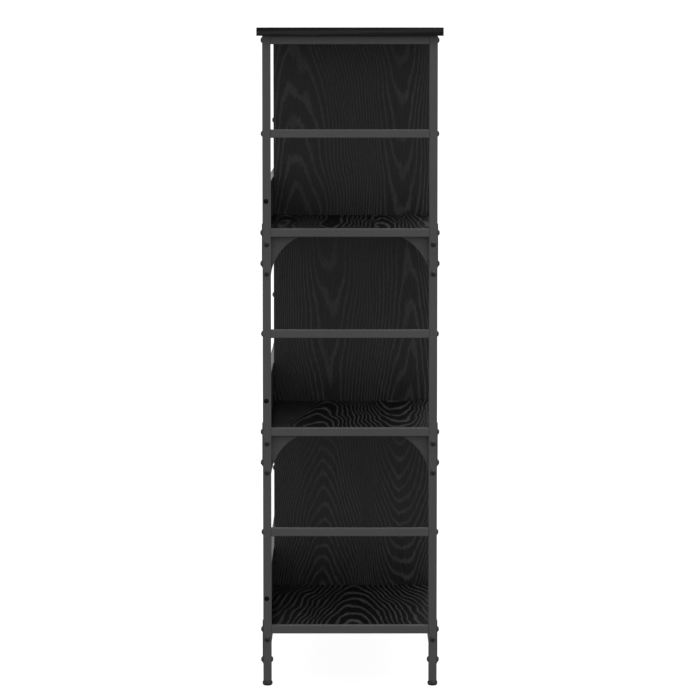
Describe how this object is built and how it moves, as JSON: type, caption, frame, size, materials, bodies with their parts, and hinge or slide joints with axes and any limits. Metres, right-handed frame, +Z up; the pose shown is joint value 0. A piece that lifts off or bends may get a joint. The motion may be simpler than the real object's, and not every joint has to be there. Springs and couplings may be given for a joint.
{
  "type": "bookcase",
  "caption": "Narrow open bookcase of stacked square-tube side frames with fixed dark oak shelves, centre dividers, low back guards and levelling feet.",
  "frame": {"origin": "middle of the footprint, on the floor plane under the fully raised feet", "axes": "+X to the bookcase's right along its width, -Y towards its open front, +Z up"},
  "size_m": [1, 0.335, 1.1925],
  "materials": {
    "black_oak_board": "matt open-grain decor on chipboard",
    "powder_coated_steel": "matt dark grey powder coat",
    "black_oxide_steel": "black oxide, satin",
    "zinc_steel": "bright zinc",
    "black_plastic": "moulded, fine texture",
    "beech_dowel": "fluted beech"
  },
  "bodies": {
    "frame": {"back_guard_lower": "black_oak_board", "back_guard_middle": "black_oak_board", "back_guard_upper": "black_oak_board", "back_rail_lower": "powder_coated_steel", "back_rail_middle": "powder_coated_steel", "back_rail_upper": "powder_coated_steel", "barrel_nuts": "black_oxide_steel", "board_screws": "black_oxide_steel", "corner_brackets_back": "powder_coated_steel", "corner_brackets_front": "powder_coated_steel", "divider_lower": "black_oak_board", "divider_middle": "black_oak_board", "divider_upper": "black_oak_board", "dowels": "beech_dowel", "foot_inserts": "black_plastic", "front_rail_lower": "powder_coated_steel", "front_rail_middle": "powder_coated_steel", "front_rail_upper": "powder_coated_steel", "guard_screws": "black_oxide_steel", "long_rail_nuts": "zinc_steel", "post_back_left_lower": "powder_coated_steel", "post_back_left_middle": "powder_coated_steel", "post_back_left_upper": "powder_coated_steel", "post_back_right_lower": "powder_coated_steel", "post_back_right_middle": "powder_coated_steel", "post_back_right_upper": "powder_coated_steel", "post_front_left_lower": "powder_coated_steel", "post_front_left_middle": "powder_coated_steel", "post_front_left_upper": "powder_coated_steel", "post_front_right_lower": "powder_coated_steel", "post_front_right_middle": "powder_coated_steel", "post_front_right_upper": "powder_coated_steel", "rail_bolts": "black_oxide_steel", "shelf_lower": "black_oak_board", "shelf_middle": "black_oak_board", "shelf_upper": "black_oak_board", "side_gussets": "powder_coated_steel", "side_rail_left_lower_guard": "powder_coated_steel", "side_rail_left_lower_shelf": "powder_coated_steel", "side_rail_left_middle_guard": "powder_coated_steel", "side_rail_left_middle_shelf": "powder_coated_steel", "side_rail_left_top": "powder_coated_steel", "side_rail_left_upper_guard": "powder_coated_steel", "side_rail_left_upper_shelf": "powder_coated_steel", "side_rail_nuts": "zinc_steel", "side_rail_right_lower_guard": "powder_coated_steel", "side_rail_right_lower_shelf": "powder_coated_steel", "side_rail_right_middle_guard": "powder_coated_steel", "side_rail_right_middle_shelf": "powder_coated_steel", "side_rail_right_top": "powder_coated_steel", "side_rail_right_upper_guard": "powder_coated_steel", "side_rail_right_upper_shelf": "powder_coated_steel", "splice_bolts": "black_oxide_steel", "splice_sleeves": "zinc_steel", "top_board": "black_oak_board"},
    "foot_front_left": {"levelling_foot_front_left": "black_plastic"},
    "foot_front_right": {"levelling_foot_front_right": "black_plastic"},
    "foot_back_left": {"levelling_foot_back_left": "black_plastic"},
    "foot_back_right": {"levelling_foot_back_right": "black_plastic"}
  },
  "joints": [
    {"name": "foot_front_left_travel", "type": "slide", "parent": "frame", "child": "foot_front_left", "axis": [0, 0, -1], "range_m": [0, 0.01]},
    {"name": "foot_front_right_travel", "type": "slide", "parent": "frame", "child": "foot_front_right", "axis": [0, 0, -1], "range_m": [0, 0.01]},
    {"name": "foot_back_left_travel", "type": "slide", "parent": "frame", "child": "foot_back_left", "axis": [0, 0, -1], "range_m": [0, 0.01]},
    {"name": "foot_back_right_travel", "type": "slide", "parent": "frame", "child": "foot_back_right", "axis": [0, 0, -1], "range_m": [0, 0.01]}
  ]
}
